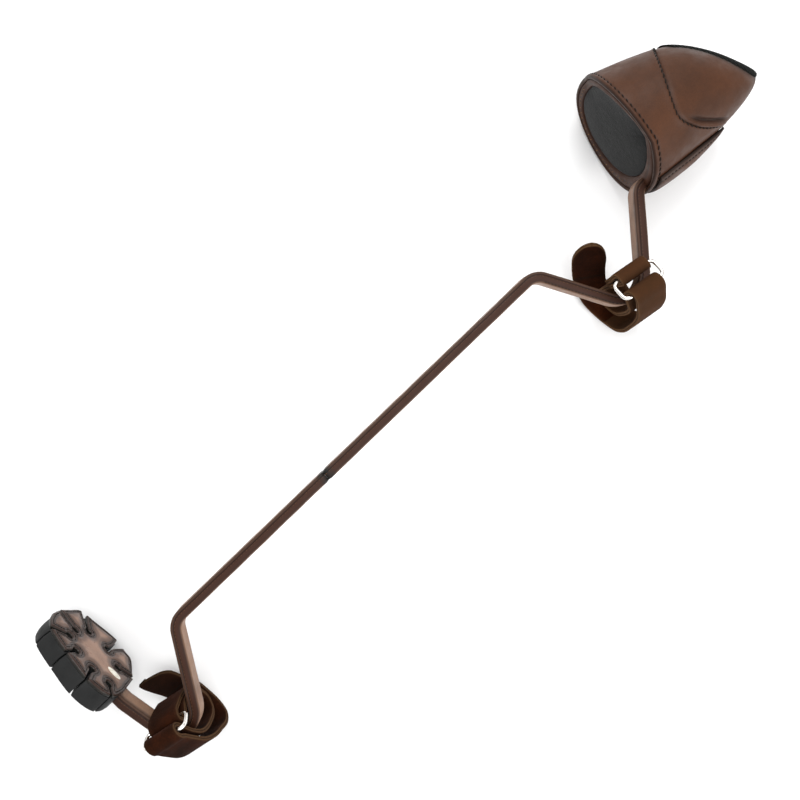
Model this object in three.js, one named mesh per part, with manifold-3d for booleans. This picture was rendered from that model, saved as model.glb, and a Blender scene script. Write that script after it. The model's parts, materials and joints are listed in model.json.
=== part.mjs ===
// Leather-covered strap-on bow quiver, lying on its side.
// Millimetres, +Z up. X runs along the arrows towards the hood, -Y is the side of the bow.
// The whole rig is built about the middle of its long straight, then centred on its own footprint.
import * as THREE from "three";
import { mergeVertices } from "three/addons/utils/BufferGeometryUtils.js";
import Module from "manifold-3d";

const wasm = await Module();
wasm.setup();

// ---------- driving dimensions ----------
const GAP = 0.3; // clearance between pieces that touch
const BAR_Z = 42; // height of the bar's middle above the table
const STEEL_T = 3.2; // spring steel, thickness in the plane of its bends
const STEEL_W = 11; // spring steel, width
const WRAP_T = 7.2; // bar over its leather, thickness
const WRAP_W = 14.5; // bar over its leather, width
const BEND_X = 160.5; // each end of the long straight
const UPPER_FOOT = new THREE.Vector2(198.5, -67.5); // corner of the V that bears on the upper limb
const LOWER_FOOT = new THREE.Vector2(-210.6, -82); // corner of the V that bears on the lower limb
const UPPER_X = 201; // middle of the strap at the hood end
const LOWER_X = -206; // middle of the strap at the gripper end
const STRAP_W = 21;
const STRAP_T = 3;
const ROD_R = 1.2; // wire of the rings
const LEATHER = 2.8; // hood leather
const GRIP_FACE = new THREE.Vector2(-214.5, -10); // bow-side end of the gripper's face
const GRIP_TILT = THREE.MathUtils.degToRad(1); // lean of the gripper towards the hood
const COVER_T = 2.4; // gripper's leather cover
const RUBBER_T = 13; // gripper's rubber
const SPLICE_X = -26; // where the two lengths of the bar's leather meet
const ROUND = 20; // sides of a small round

// ---------- materials ----------
const material = (color, roughness, metalness = 0) =>
  new THREE.MeshStandardMaterial({ color, roughness, metalness });
const LOOK = {
  leather: material(0x5c4130, 0.55),
  strap: material(0x341808, 0.85),
  cover: material(0x8a6a58, 0.5),
  foam: material(0x333333, 0.95),
  rubber: material(0x343433, 0.8),
  steel: material(0x777a80, 0.35, 1),
  nickel: material(0xd8d4cc, 0.2, 1),
  badge: material(0xd9d5c6, 0.4),
};

const rig = new THREE.Group();

function add(name, geometry, look, parent = rig) {
  const mesh = new THREE.Mesh(geometry, look);
  mesh.name = name;
  parent.add(mesh);
  return mesh;
}

// ---------- solids ----------
function solid(geometry) {
  const bare = geometry.clone();
  for (const key of ["normal", "uv"]) {
    bare.deleteAttribute(key);
  }
  const merged = mergeVertices(bare, 1e-4);
  const mesh = new wasm.Mesh({
    numProp: 3,
    vertProperties: merged.attributes.position.array,
    triVerts: new Uint32Array(merged.index.array),
  });
  return new wasm.Manifold(mesh);
}

function geometryOf(manifold) {
  const mesh = manifold.getMesh();
  return new THREE.BufferGeometry()
    .setAttribute("position", new THREE.BufferAttribute(mesh.vertProperties, 3))
    .setIndex(new THREE.BufferAttribute(mesh.triVerts, 1));
}

const less = (body, ...tools) =>
  geometryOf(tools.reduce((rest, tool) => rest.subtract(solid(tool)), solid(body)));

// A closed surface from rings of equal length, from the first ring to the last, with flat ends.
function loft(rings) {
  const around = rings[0].length;
  const points = rings.flat();
  const index = [];
  for (let i = 0; i + 1 < rings.length; i += 1) {
    for (let j = 0; j < around; j += 1) {
      const a = i * around + j;
      const b = i * around + ((j + 1) % around);
      index.push(a, b, b + around, a, b + around, a + around);
    }
  }
  for (const [ring, turned] of [[0, true], [rings.length - 1, false]]) {
    const start = ring * around;
    const centre = points.length;
    const sum = rings[ring].reduce((total, p) => total.add(p), new THREE.Vector3());
    points.push(sum.divideScalar(around));
    for (let j = 0; j < around; j += 1) {
      const a = start + j;
      const b = start + ((j + 1) % around);
      index.push(...(turned ? [centre, b, a] : [centre, a, b]));
    }
  }
  return new THREE.BufferGeometry().setFromPoints(points).setIndex(index);
}

// A closed surface from rings whose last ring joins the first again, such as a wall around a hollow.
function wall(rings) {
  const around = rings[0].length;
  const index = [];
  for (let i = 0; i < rings.length; i += 1) {
    const next = (i + 1) % rings.length;
    for (let j = 0; j < around; j += 1) {
      const k = (j + 1) % around;
      const corners = [i * around + j, i * around + k, next * around + k, next * around + j];
      index.push(corners[0], corners[1], corners[2], corners[0], corners[2], corners[3]);
    }
  }
  return new THREE.BufferGeometry().setFromPoints(rings.flat()).setIndex(index);
}

// A cylinder along X from x0 to x1.
function rodX(x0, x1, y, z, radius) {
  return new THREE.CylinderGeometry(radius, radius, x1 - x0, ROUND)
    .rotateZ(Math.PI / 2)
    .translate((x0 + x1) / 2, y, z);
}

// ---------- bar ----------
const HOOD_TANG_Y = -6.2;
const gripPoint = (x, v) =>
  new THREE.Vector2(x, v).rotateAround(new THREE.Vector2(), -GRIP_TILT).add(GRIP_FACE);
const TANG_X = -COVER_T - GAP - WRAP_T / 2 - 0.2; // bar's middle behind the gripper's face
const BAR_CORNERS = [
  { at: gripPoint(TANG_X, 42), radius: 0 },
  { at: gripPoint(TANG_X, -5), radius: 12 },
  { at: LOWER_FOOT, radius: 14 },
  { at: new THREE.Vector2(-BEND_X, 0), radius: 12 },
  { at: new THREE.Vector2(BEND_X, 0), radius: 12 },
  { at: UPPER_FOOT, radius: 17 },
  { at: new THREE.Vector2(248, HOOD_TANG_Y), radius: 9 },
  { at: new THREE.Vector2(304, HOOD_TANG_Y), radius: 0 },
];
const BEND_STEPS = 6;
const WRAP_STOPS = 22; // bare steel left beyond the leather at each tang

// The bar's middle line: straights joined by arcs, as points with their directions.
function middleLine(startTrim = 0, endTrim = 0) {
  const line = [];
  const put = (at, direction) => line.push({ at, direction: direction.clone().normalize() });
  BAR_CORNERS.forEach(({ at, radius }, i) => {
    const before = BAR_CORNERS[i - 1]?.at;
    const after = BAR_CORNERS[i + 1]?.at;
    if (!before || !after) {
      const way = before ? at.clone().sub(before) : after.clone().sub(at);
      const trim = before ? -endTrim : startTrim;
      put(at.clone().addScaledVector(way.clone().normalize(), trim), way);
      return;
    }
    const into = at.clone().sub(before).normalize();
    const out = after.clone().sub(at).normalize();
    const turn = Math.atan2(into.cross(out), into.dot(out));
    const reach = radius * Math.tan(Math.abs(turn) / 2);
    const side = Math.sign(turn);
    const start = at.clone().addScaledVector(into, -reach);
    const normal = new THREE.Vector2(-into.y, into.x).multiplyScalar(side);
    const centre = start.clone().addScaledVector(normal, radius);
    for (let k = 0; k <= BEND_STEPS; k += 1) {
      const angle = (turn * k) / BEND_STEPS;
      const origin = new THREE.Vector2();
      put(start.clone().rotateAround(centre, angle), into.clone().rotateAround(origin, angle));
    }
  });
  return line;
}

// A strip of the bar of a given thickness and width, following the middle line.
function strip(line, thickness, width) {
  const edge = (sign) =>
    line.map(({ at, direction }) =>
      at.clone().add(new THREE.Vector2(-direction.y, direction.x).multiplyScalar((sign * thickness) / 2)));
  const outline = [...edge(-1), ...edge(1).reverse()];
  return new THREE.ExtrudeGeometry(new THREE.Shape(outline), {
    depth: width,
    bevelEnabled: false,
  }).translate(0, 0, BAR_Z - width / 2);
}

// One length of the leather that is folded round the steel.
function wrapHalf(name, keep) {
  const cover = strip(middleLine(WRAP_STOPS, WRAP_STOPS), WRAP_T, WRAP_W);
  const hollow = strip(middleLine(), STEEL_T + 2 * GAP, STEEL_W + 2 * GAP);
  const cut = new THREE.BoxGeometry(700, 300, 100).translate(SPLICE_X + keep * (350 + GAP / 2), 0, BAR_Z);
  add(name, geometryOf(solid(cover).subtract(solid(hollow)).intersect(solid(cut))), LOOK.leather);
}

// ---------- hood ----------
// Its section lies in planes that fan from the mouth to the point. Each runs from the bow side to the front.
const HOOD_BOW = new THREE.SplineCurve([
  new THREE.Vector2(250, -13),
  new THREE.Vector2(285, -15),
  new THREE.Vector2(318, -15.5),
  new THREE.Vector2(342, -12),
  new THREE.Vector2(354.6, -6.4),
]);
const HOOD_FRONT = new THREE.SplineCurve([
  new THREE.Vector2(275, 69),
  new THREE.Vector2(299, 60),
  new THREE.Vector2(319.5, 49.5),
  new THREE.Vector2(336, 33.5),
  new THREE.Vector2(347, 12),
  new THREE.Vector2(355.3, -4.8),
]);
const HOOD_HALF = 45; // half the hood's width at its mouth
const HOOD_ROLL = 0.07; // how far its section leans towards the front, per unit of depth
const HOOD_THIN = 0.07; // how much flatter the side towards the table is, at the bow side
const HOOD_AROUND = 28; // points on each side from the bow side to the front

// A point of one of the hood's lines, which run straight on before their start.
function lineAt(line, t) {
  if (t >= 0) {
    return line.getPoint(t);
  }
  const step = 0.01;
  const start = line.getPoint(0);
  return line.getPoint(step).sub(start).multiplyScalar(t / step).add(start);
}

// A point of the hood at t from mouth to tip, s from bow side to front, on the side of the sign.
function hoodPoint(t, s, sign, { bow = 0, front = 0, side = 0 } = {}) {
  const a = lineAt(HOOD_BOW, t);
  const b = lineAt(HOOD_FRONT, t);
  const across = b.clone().sub(a);
  const length = across.length();
  across.divideScalar(length);
  a.addScaledVector(across, bow);
  b.addScaledVector(across, -front);
  const part = (1 - Math.cos(Math.PI * s)) / 2;
  const keel = 0.45 + 0.35 * THREE.MathUtils.smoothstep(t, 0.3, 0.75);
  const flat = 0.5;
  const widest = flat / (flat + keel);
  const peak = widest ** flat * (1 - widest) ** keel;
  const thin = sign < 0 ? 1 - HOOD_THIN * (1 - s) : 1;
  const half = HOOD_HALF * (1 - Math.max(t, 0) ** 2.2) * thin + 0.8 - side;
  const z = (half * part ** flat * (1 - part) ** keel) / peak;
  const p = a.lerp(b, part);
  return new THREE.Vector3(p.x, p.y - HOOD_ROLL * sign * z, BAR_Z + sign * z);
}

// One closed ring of the hood. Its t may differ with s and with the side.
function hoodRing(tOf, inset) {
  const ring = [];
  for (let j = 0; j < HOOD_AROUND; j += 1) {
    const s = j / HOOD_AROUND;
    ring.push(hoodPoint(tOf(s, -1), s, -1, inset));
  }
  for (let j = HOOD_AROUND; j > 0; j -= 1) {
    const s = j / HOOD_AROUND;
    ring.push(hoodPoint(tOf(s, 1), s, 1, inset));
  }
  return ring;
}

// The mouth's edge reaches out towards the front, most of all on its upper side.
function mouth(s, sign) {
  const lip = 0.042 * THREE.MathUtils.smoothstep(s, 0.4, 0.95);
  const upper = sign > 0 ? 0.085 * Math.sin(Math.PI * THREE.MathUtils.clamp((s - 0.38) / 0.62, 0, 1)) : 0;
  return -lip - upper;
}

// The seam between the band and the cap: low on the flanks, and higher on the front ridge and the bow side.
const SEAM_LOW = { s: 0.45, t: 0.158 };
function seam(s) {
  const { s: low, t } = SEAM_LOW;
  if (s > low) {
    return t + 0.2 * ((s - low) / (1 - low)) ** 2;
  }
  return t + 0.17 * (1 - Math.cos((Math.PI * (low - s)) / low));
}
const SKIN = { bow: LEATHER, front: LEATHER, side: LEATHER };
const mix = (from, to, k) => from + (to - from) * k;

function hoodBand() {
  const rings = [];
  const steps = 6;
  const ringAt = (i, inset) => hoodRing((s, sign) => mix(mouth(s, sign), seam(s), i / steps), inset);
  for (let i = 0; i <= steps; i += 1) {
    rings.push(ringAt(i, {}));
  }
  for (let i = steps; i >= 0; i -= 1) {
    rings.push(ringAt(i, SKIN));
  }
  return wall(rings);
}

function hoodCap() {
  const lap = 0.018; // t of the slit between band and cap
  const steps = 9;
  const innerTip = 0.86;
  const ease = (i) => (i / steps) ** 0.85;
  const outer = [];
  const inner = [];
  for (let i = 0; i <= steps; i += 1) {
    outer.push(hoodRing((s) => mix(seam(s) + lap, 1, ease(i)), {}));
    inner.push(hoodRing((s) => mix(seam(s) + lap, innerTip, ease(i)), SKIN));
  }
  const skinned = loft(outer);
  const hollow = loft([hoodRing((s) => seam(s) - 0.1, SKIN), ...inner]);
  return less(skinned, hollow);
}

const LINER = { bow: 11.6, front: LEATHER + 0.8, side: LEATHER + 2 };
const LINER_IN = { bow: 14.6, front: LEATHER + 3.2, side: LEATHER + 4.4 };
const FOAM = { bow: 15, front: LEATHER + 3.6, side: LEATHER + 4.8 };

function hoodLiner() {
  const depth = 0.11;
  return wall([
    hoodRing(mouth, LINER),
    hoodRing(() => depth, LINER),
    hoodRing(() => depth, LINER_IN),
    hoodRing(mouth, LINER_IN),
  ]);
}

function hoodFoam() {
  const rings = [];
  const steps = 6;
  for (let i = 0; i <= steps; i += 1) {
    rings.push(hoodRing((s, sign) => mix(mouth(s, sign) + 0.02, 0.55, i / steps), FOAM));
  }
  return loft(rings);
}

// The patch of leather sewn over the bow side of the hood, which hides the end of the bar.
const PATCH = { from: 0.05, to: 0.46, reach: 0.16, clear: 1.1, bulge: 1.6, thick: 2.2 };
const PATCH_STEPS = 8;
function hoodPatch() {
  const rings = [];
  for (let i = 0; i <= PATCH_STEPS; i += 1) {
    const share = i / PATCH_STEPS;
    const t = mix(PATCH.from, PATCH.to, share);
    const reach = PATCH.reach * (1 - 0.75 * share ** 2);
    const bulge = PATCH.bulge * Math.sin(Math.PI * share);
    const row = (out) => {
      const points = [];
      for (let j = -4; j <= 4; j += 1) {
        const s = (reach * Math.abs(j)) / 4;
        const rise = PATCH.clear + bulge * (1 - (j / 4) ** 2);
        const grown = { bow: -rise - out, front: 0, side: -PATCH.clear - out };
        points.push(hoodPoint(t, s, Math.sign(j) || 1, grown));
      }
      return points;
    };
    rings.push([...row(PATCH.thick), ...row(0).reverse()]);
  }
  return loft(rings.reverse());
}

// ---------- gripper ----------
const GRIP_LOW = -7.5; // the gripper sits this much towards the table, off the bar's middle
// The gripper's outline in its own plane: v towards the front, then how far it reaches up or down.
const GRIP_RIM = {
  up: [
    [0, 13], [2, 22], [6, 28.5], [14, 32.5], [26, 33], [40, 29], [52, 25], [60, 21], [65, 14], [67, 6],
  ],
  down: [
    [0, 9], [2.5, 13], [5.5, 20], [10, 26.5], [16, 28], [24, 31], [34, 30], [46, 26.5], [57, 23.5], [62, 13],
    [66, 4],
  ],
};
const SHAFT_R = 3.4; // seat of one arrow shaft
const NECK = 0.7; // half the width of the slit that leads to a seat
// Seats, with z from the gripper's middle. The slits that point up stay nearly closed at the rim.
const CLEFTS = [
  { v: 50, z: 11.5, angle: 38, opening: 0.3 },
  { v: 40, z: 19.5, angle: 66, opening: 0.3 },
  { v: 25, z: 21.5, angle: 98, opening: 0.3 },
  { v: 10.5, z: 19.5, angle: 130, opening: 0.5 },
  { v: 50, z: 1, angle: -14, opening: 1 },
  { v: 43.5, z: -10.5, angle: -52, opening: 4 },
  { v: 26, z: -12.5, angle: -103, opening: 8 },
  { v: 13, z: -4.2, angle: -156, opening: 0.8 },
];

function gripOutline(grow) {
  const scale = 1 + grow;
  const side = (rim, sign) =>
    rim.map(([v, z]) => new THREE.Vector2(v * scale, GRIP_LOW + sign * z * scale));
  return [...side(GRIP_RIM.up, 1), ...side(GRIP_RIM.down, -1).reverse()];
}

// A shaft's seat with the slit that opens to the rim.
function cleft({ v, z, angle, opening }, ease) {
  const shape = new THREE.Shape();
  const radius = SHAFT_R + ease;
  const neck = NECK + ease;
  const start = Math.asin(neck / radius);
  shape.absarc(0, 0, radius, start, 2 * Math.PI - start, false);
  shape.lineTo(9, -neck);
  shape.lineTo(40, -neck - opening);
  shape.lineTo(40, neck + opening);
  shape.lineTo(9, neck);
  return new THREE.ExtrudeGeometry(shape, { depth: 60, bevelEnabled: false, curveSegments: 14 })
    .rotateZ(THREE.MathUtils.degToRad(angle))
    .translate(v, GRIP_LOW + z, -30)
    .applyMatrix4(PLATE);
}

// Turns a plate drawn in (v, z) and extruded into the gripper's own frame: thickness along X.
const PLATE = new THREE.Matrix4().makeBasis(
  new THREE.Vector3(0, 1, 0),
  new THREE.Vector3(0, 0, 1),
  new THREE.Vector3(1, 0, 0),
);

function gripPlate(back, front, grow, ease, ...cuts) {
  const plate = new THREE.ExtrudeGeometry(new THREE.Shape(gripOutline(grow)), {
    depth: front - back,
    bevelEnabled: false,
  })
    .translate(0, 0, back)
    .applyMatrix4(PLATE);
  return less(plate, ...CLEFTS.map((seat) => cleft(seat, ease)), ...cuts);
}

const GRIP_SCREWS = [27, 37];
const RIVET_R = 2;
function gripper() {
  const grip = new THREE.Group();
  grip.position.set(GRIP_FACE.x, GRIP_FACE.y, BAR_Z);
  grip.rotation.z = -GRIP_TILT;
  rig.add(grip);
  const rubberFront = -COVER_T - GAP;
  const rubberBack = rubberFront - RUBBER_T;
  const channelX = WRAP_T + 2 * GAP + 0.2;
  const channel = new THREE.BoxGeometry(channelX, 60, WRAP_W + 2 * GAP)
    .translate(rubberFront - channelX / 2 + 0.01, 14, 0);
  const holes = GRIP_SCREWS.map((v) => rodX(rubberBack - 1, rubberFront + 1, v, 0, RIVET_R + GAP));
  add("gripper_rubber", gripPlate(rubberBack, rubberFront, 0, 0, channel, ...holes), LOOK.rubber, grip);
  add("gripper_leather_cover", gripPlate(-COVER_T, 0, 0.01, 0.4), LOOK.cover, grip);
  const badge = new THREE.CylinderGeometry(1, 1, 0.8, 28)
    .rotateZ(Math.PI / 2)
    .scale(1, 5.6, 2.3)
    .translate(0.7, 12.5, -1);
  add("gripper_badge", badge, LOOK.badge, grip);
  GRIP_SCREWS.forEach((v, i) => {
    const head = rodX(rubberBack - 1.8, rubberBack - GAP, v, 0, 4);
    const shank = rodX(rubberBack - 1, TANG_X + STEEL_T / 2 + 0.6, v, 0, RIVET_R);
    const screw = geometryOf(solid(head).add(solid(shank)));
    add(`gripper_rivet_${i + 1}`, screw, LOOK.nickel, grip);
  });
}

// ---------- straps and rings ----------
const BEND_ROOM = 0.16; // room left each side of a bend, in steps of the route
const LOOP_STEPS = 44;
const TAIL_STEPS = 30;
const TAB_STEPS = 16;
// Strap routes in the plane across a foot: u is the distance towards the bow, z is from the bar's middle.
// The third number is how far the route wanders along X.
const UPPER = {
  yaw: 0.16,
  ringShift: -1.3,
  inner: { u: 39, z: 28 },
  outer: { u: 51.5, z: 33.5 },
  loop: [
    [37.4, 6, 0], [37, 15, 0], [35.8, 23, 0], [36, 29.6, 0], [39, 31.3, 0], [42, 29.5, 0],
    [41.8, 22, 0], [41.2, 9, 0], [41.2, -9, 0], [42.4, -21, 0], [46.8, -29.5, 0], [53.2, -33.3, 0],
    [59.2, -31, 0], [62.1, -23, -0.5], [62.6, -12, -1], [61.8, 0, -1.5], [59.6, 10, -2], [53.8, 18.5, -2.5],
  ],
  tail: [
    [48.9, 26, -2.5], [47.9, 31.8, -2.5], [48.9, 36.1, -2.5], [52, 37.3, -2.5], [55.1, 34.9, -2.5],
    [59.2, 28, -2.5], [65.4, 16.5, -2.5], [70, 1.5, -2.5], [72.8, -15, -3], [74, -30, -4], [71, -39.5, -5],
    [63, -43.2, -6],
  ],
  tab: [[52, -43.8, -7], [44, -41.5, -7.5], [34, -34, -7], [25, -22, -5], [17.5, -8, -2.5], [11.5, 4, 0.5]],
};
const LOWER = {
  yaw: 0.2,
  ringShift: 1.6,
  inner: { u: 42, z: 18 },
  outer: { u: 46, z: 33 },
  loop: [
    [35.9, -8, 4.2], [35.9, 1, 4.2], [36.9, 10, 3], [38.4, 17.8, 2.3], [42, 21.8, 2], [45.6, 18.6, 2],
    [43.6, 12.6, 3], [40.4, 7, 4], [39.5, 0, 4.2], [39.8, -9, 4.2], [42, -21, 3.5], [46.4, -29.6, 2],
    [53.2, -33.4, 1], [59.1, -31, 0], [62.5, -23, 0], [63.4, -12, 0], [62.9, 0, 0], [60.6, 8.8, 0],
    [55.7, 16, 0], [49.8, 21.8, 0.3],
  ],
  tail: [
    [44.6, 26.4, 0.6], [42.4, 30.8, 1], [42.8, 34.9, 1], [45.8, 36.8, 1], [49.2, 35.2, 1], [51.6, 30.5, 0.5],
    [56.8, 23.8, 0], [64.5, 13.9, 0], [69.7, 1.2, 0], [72.6, -14, 0], [74, -30, 0], [71, -39.5, 0],
    [63, -43.2, 0],
  ],
  tab: [
    [53, -43.8, -0.5], [44, -42.5, -1], [36, -38, -2], [28.5, -32.5, -3], [21, -28, -4], [14.5, -25.5, -4.6],
  ],
};

// The whole strap as one smooth line, drawn through the points of its three lengths.
function strapLine({ loop, tail, tab }, x) {
  const points = [...loop, ...tail, ...tab].map(
    ([u, z, shift]) => new THREE.Vector3(x + shift, -u, BAR_Z + z),
  );
  return new THREE.CatmullRomCurve3(points, false, "centripetal");
}

// A flat length of strap between two shares of its line. Its width lies level, turned off X by the turn,
// and where it is square it lies across the line.
function strap(curve, [from, to], steps, turn, half = () => STRAP_W / 2, square = () => 0) {
  const rings = [];
  for (let i = 0; i <= steps; i += 1) {
    const share = i / steps;
    const t = mix(from, to, share);
    const tangent = curve.getTangent(t);
    const at = curve.getPoint(t);
    const side = new THREE.Vector3(Math.cos(turn(share)), -Math.sin(turn(share)), 0);
    side.addScaledVector(tangent, -side.dot(tangent) * square(share)).normalize();
    const up = tangent.clone().cross(side).setLength(STRAP_T / 2);
    side.multiplyScalar(half(share));
    const corner = (a, b) => at.clone().addScaledVector(side, a).addScaledVector(up, b);
    rings.push([corner(-1, -1), corner(1, -1), corner(1, 1), corner(-1, 1)]);
  }
  return loft(rings);
}

// Half the width of a tab whose last part narrows to a round or blunt tip.
const tip = (share, power, flare = 0) => (k) => {
  const past = THREE.MathUtils.clamp((k - (1 - share)) / share, 0, 1);
  return (STRAP_W / 2 + flare * k) * Math.max(0.16, (1 - past ** power) ** (1 / power));
};

class RingLine extends THREE.Curve {
  constructor(half, reach, corner) {
    super();
    Object.assign(this, { half, reach, corner });
  }

  getPoint(k, target = new THREE.Vector3()) {
    const angle = 2 * Math.PI * k;
    const c = Math.cos(angle);
    const s = Math.sin(angle);
    const bulge = (value) => Math.sign(value) * Math.abs(value) ** this.corner;
    return target.set(this.half * bulge(c), this.reach * bulge(s), 0);
  }
}

function ring(name, x, { inner, outer, yaw, ringShift }) {
  const du = outer.u - inner.u;
  const dz = outer.z - inner.z;
  const line = new RingLine(14.6, Math.hypot(du, dz) / 2, 0.3);
  const mesh = add(name, new THREE.TubeGeometry(line, 48, ROD_R, 8, true), LOOK.nickel);
  mesh.rotation.set(-Math.atan2(dz, du), 0, -yaw, "ZXY");
  mesh.position.set(x + ringShift, -(inner.u + outer.u) / 2, BAR_Z + (inner.z + outer.z) / 2);
}

function strapSet(end, x, route, twist, half) {
  const line = strapLine(route, x);
  const last = route.loop.length + route.tail.length + route.tab.length - 1;
  const toTail = route.loop.length - 0.5;
  const toTab = route.loop.length + route.tail.length - 0.5;
  const loop = [0, toTail - BEND_ROOM].map((step) => step / last);
  const tail = [toTail + BEND_ROOM, toTab - BEND_ROOM].map((step) => step / last);
  const tab = [toTab + BEND_ROOM, last].map((step) => step / last);
  const level = () => route.yaw;
  const twisted = (k) => route.yaw + twist * THREE.MathUtils.smoothstep(k, 0, 0.8);
  add(`${end}_strap_loop`, strap(line, loop, LOOP_STEPS, level), LOOK.strap);
  add(`${end}_strap_tail`, strap(line, tail, TAIL_STEPS, level), LOOK.strap);
  add(`${end}_strap_tab`, strap(line, tab, TAB_STEPS, twisted, half, (k) => k), LOOK.strap);
  ring(`${end}_ring`, x, route);
}

// ---------- assembly ----------
function bar() {
  const gripHoles = GRIP_SCREWS.map((v) =>
    rodX(-40, 10, v, 0, RIVET_R + GAP)
      .rotateZ(-GRIP_TILT)
      .translate(GRIP_FACE.x, GRIP_FACE.y, BAR_Z));
  const steel = strip(middleLine(), STEEL_T, STEEL_W);
  add("spring_steel_bar", less(steel, ...gripHoles), LOOK.steel);
  wrapHalf("bar_wrap_hood_half", 1);
  wrapHalf("bar_wrap_gripper_half", -1);
}

function hood() {
  const room = strip(middleLine(WRAP_STOPS, WRAP_STOPS), WRAP_T + 2 * GAP, WRAP_W + 2 * GAP);
  add("hood_band", less(hoodBand(), room), LOOK.leather);
  add("hood_cap", hoodCap(), LOOK.leather);
  add("hood_rim_liner", less(hoodLiner(), room), LOOK.leather);
  add("hood_foam", less(hoodFoam(), room), LOOK.foam);
  add("hood_bar_patch", hoodPatch(), LOOK.leather);
}

bar();
hood();
gripper();
strapSet("upper", UPPER_X, UPPER, 0.6, tip(0.22, 2, 2));
strapSet("lower", LOWER_X, LOWER, 0, tip(0.22, 1.3));

// Centre the footprint on the origin, with the lowest point on the table.
const box = new THREE.Box3().setFromObject(rig, true);
const middle = box.getCenter(new THREE.Vector3());
rig.position.set(-middle.x, -middle.y, -box.min.z);
const part = new THREE.Group();
part.add(rig);

export default part;
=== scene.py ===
import json
import math
import random

import bmesh
import bpy
import numpy as np
from mathutils import Matrix, Vector


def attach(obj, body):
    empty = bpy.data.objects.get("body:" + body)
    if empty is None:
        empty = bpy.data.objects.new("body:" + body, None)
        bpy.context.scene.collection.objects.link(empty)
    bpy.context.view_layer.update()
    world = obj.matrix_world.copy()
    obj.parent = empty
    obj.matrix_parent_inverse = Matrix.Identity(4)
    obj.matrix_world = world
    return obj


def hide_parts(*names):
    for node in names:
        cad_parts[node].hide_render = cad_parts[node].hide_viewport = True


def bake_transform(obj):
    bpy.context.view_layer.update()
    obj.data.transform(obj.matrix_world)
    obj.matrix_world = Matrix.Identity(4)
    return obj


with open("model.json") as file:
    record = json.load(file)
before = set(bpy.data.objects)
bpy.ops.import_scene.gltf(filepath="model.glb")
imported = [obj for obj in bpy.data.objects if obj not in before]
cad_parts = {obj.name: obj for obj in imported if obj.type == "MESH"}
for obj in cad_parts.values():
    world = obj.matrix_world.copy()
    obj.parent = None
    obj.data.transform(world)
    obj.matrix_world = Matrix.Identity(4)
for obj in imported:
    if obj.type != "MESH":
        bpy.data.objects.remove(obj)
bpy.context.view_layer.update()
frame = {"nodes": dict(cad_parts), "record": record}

RANDOM = random.Random(7)
MM = 0.001

# ---------- places taken from the frame ----------
MOUNTS = {mount["name"]: mount for mount in frame["record"]["mounts"]}
WRAP_T = 7.2  # bar over its leather, thickness
WRAP_W = 14.5  # bar over its leather, width
SPAN_FACE_X = 60.0  # where the span_face mount lies along the bar
ORIGIN = np.array(MOUNTS["span_face"]["pos_m"]) - np.array([SPAN_FACE_X, -WRAP_T / 2, 0]) * MM


def place(points):
    """Millimetres about the bar's middle to metres in the frame."""
    return np.asarray(points, float) * MM + ORIGIN


# ---------- camera, lights, floor ----------
# The camera's place, turn and lens were fitted by least squares to the view that is rebuilt.
CAMERA_AT = (37.36, 30.46, 525.9)
CAMERA_RIGHT = Vector((0.72058, -0.69193, 0.04461))
CAMERA_UP = Vector((0.69330, 0.71989, -0.03292))
CAMERA_LENS = 36.48


def make_camera():
    data = bpy.data.cameras.new("camera")
    data.lens = CAMERA_LENS
    data.sensor_width = 36.0
    data.clip_start = 0.01
    camera = in_scene("camera", data)
    right = CAMERA_RIGHT.normalized()
    back = right.cross(CAMERA_UP).normalized()
    up = back.cross(right)
    turn = Matrix((right, up, back)).transposed().to_4x4()
    camera.matrix_world = Matrix.Translation(place(CAMERA_AT)) @ turn
    bpy.context.scene.camera = camera


def area_light(name, at, aim, size, power):
    data = bpy.data.lights.new(name, "AREA")
    data.shape = "DISK"
    data.size = size
    data.energy = power
    light = in_scene(name, data)
    light.location = at
    light.rotation_euler = (Vector(aim) - Vector(at)).to_track_quat("-Z", "Y").to_euler()


def make_studio():
    area_light("key", (0.55, 0.75, 1.15), (0.05, 0, 0.03), 0.9, 11)
    area_light("fill", (0.1, -1.1, 0.8), (0, 0, 0.03), 1.0, 9)
    area_light("top", (0, 0.1, 1.6), (0, 0, 0), 1.6, 9)
    world = bpy.data.worlds.new("studio")
    world.use_nodes = True
    background = world.node_tree.nodes["Background"]
    background.inputs["Color"].default_value = (1, 1, 1, 1)
    background.inputs["Strength"].default_value = 0.75
    bpy.context.scene.world = world
    scene = bpy.context.scene
    scene.view_settings.view_transform = "Standard"
    span = 3.0
    corners = [(-span, -span, 0), (span, -span, 0), (span, span, 0), (-span, span, 0)]
    mesh = bpy.data.meshes.new("floor")
    mesh.from_pydata(corners, [], [(0, 1, 2, 3)])
    floor = in_scene("floor", mesh)
    paper = Shader("paper")
    paper.set(**{"Base Color": (0.93, 0.93, 0.93, 1), "Roughness": 0.9, "Specular IOR Level": 0.1})
    grain = paper.noise(90, 3)
    paper.bump(grain, 0.02, 0.0004)
    mesh.materials.append(paper.material)


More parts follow.
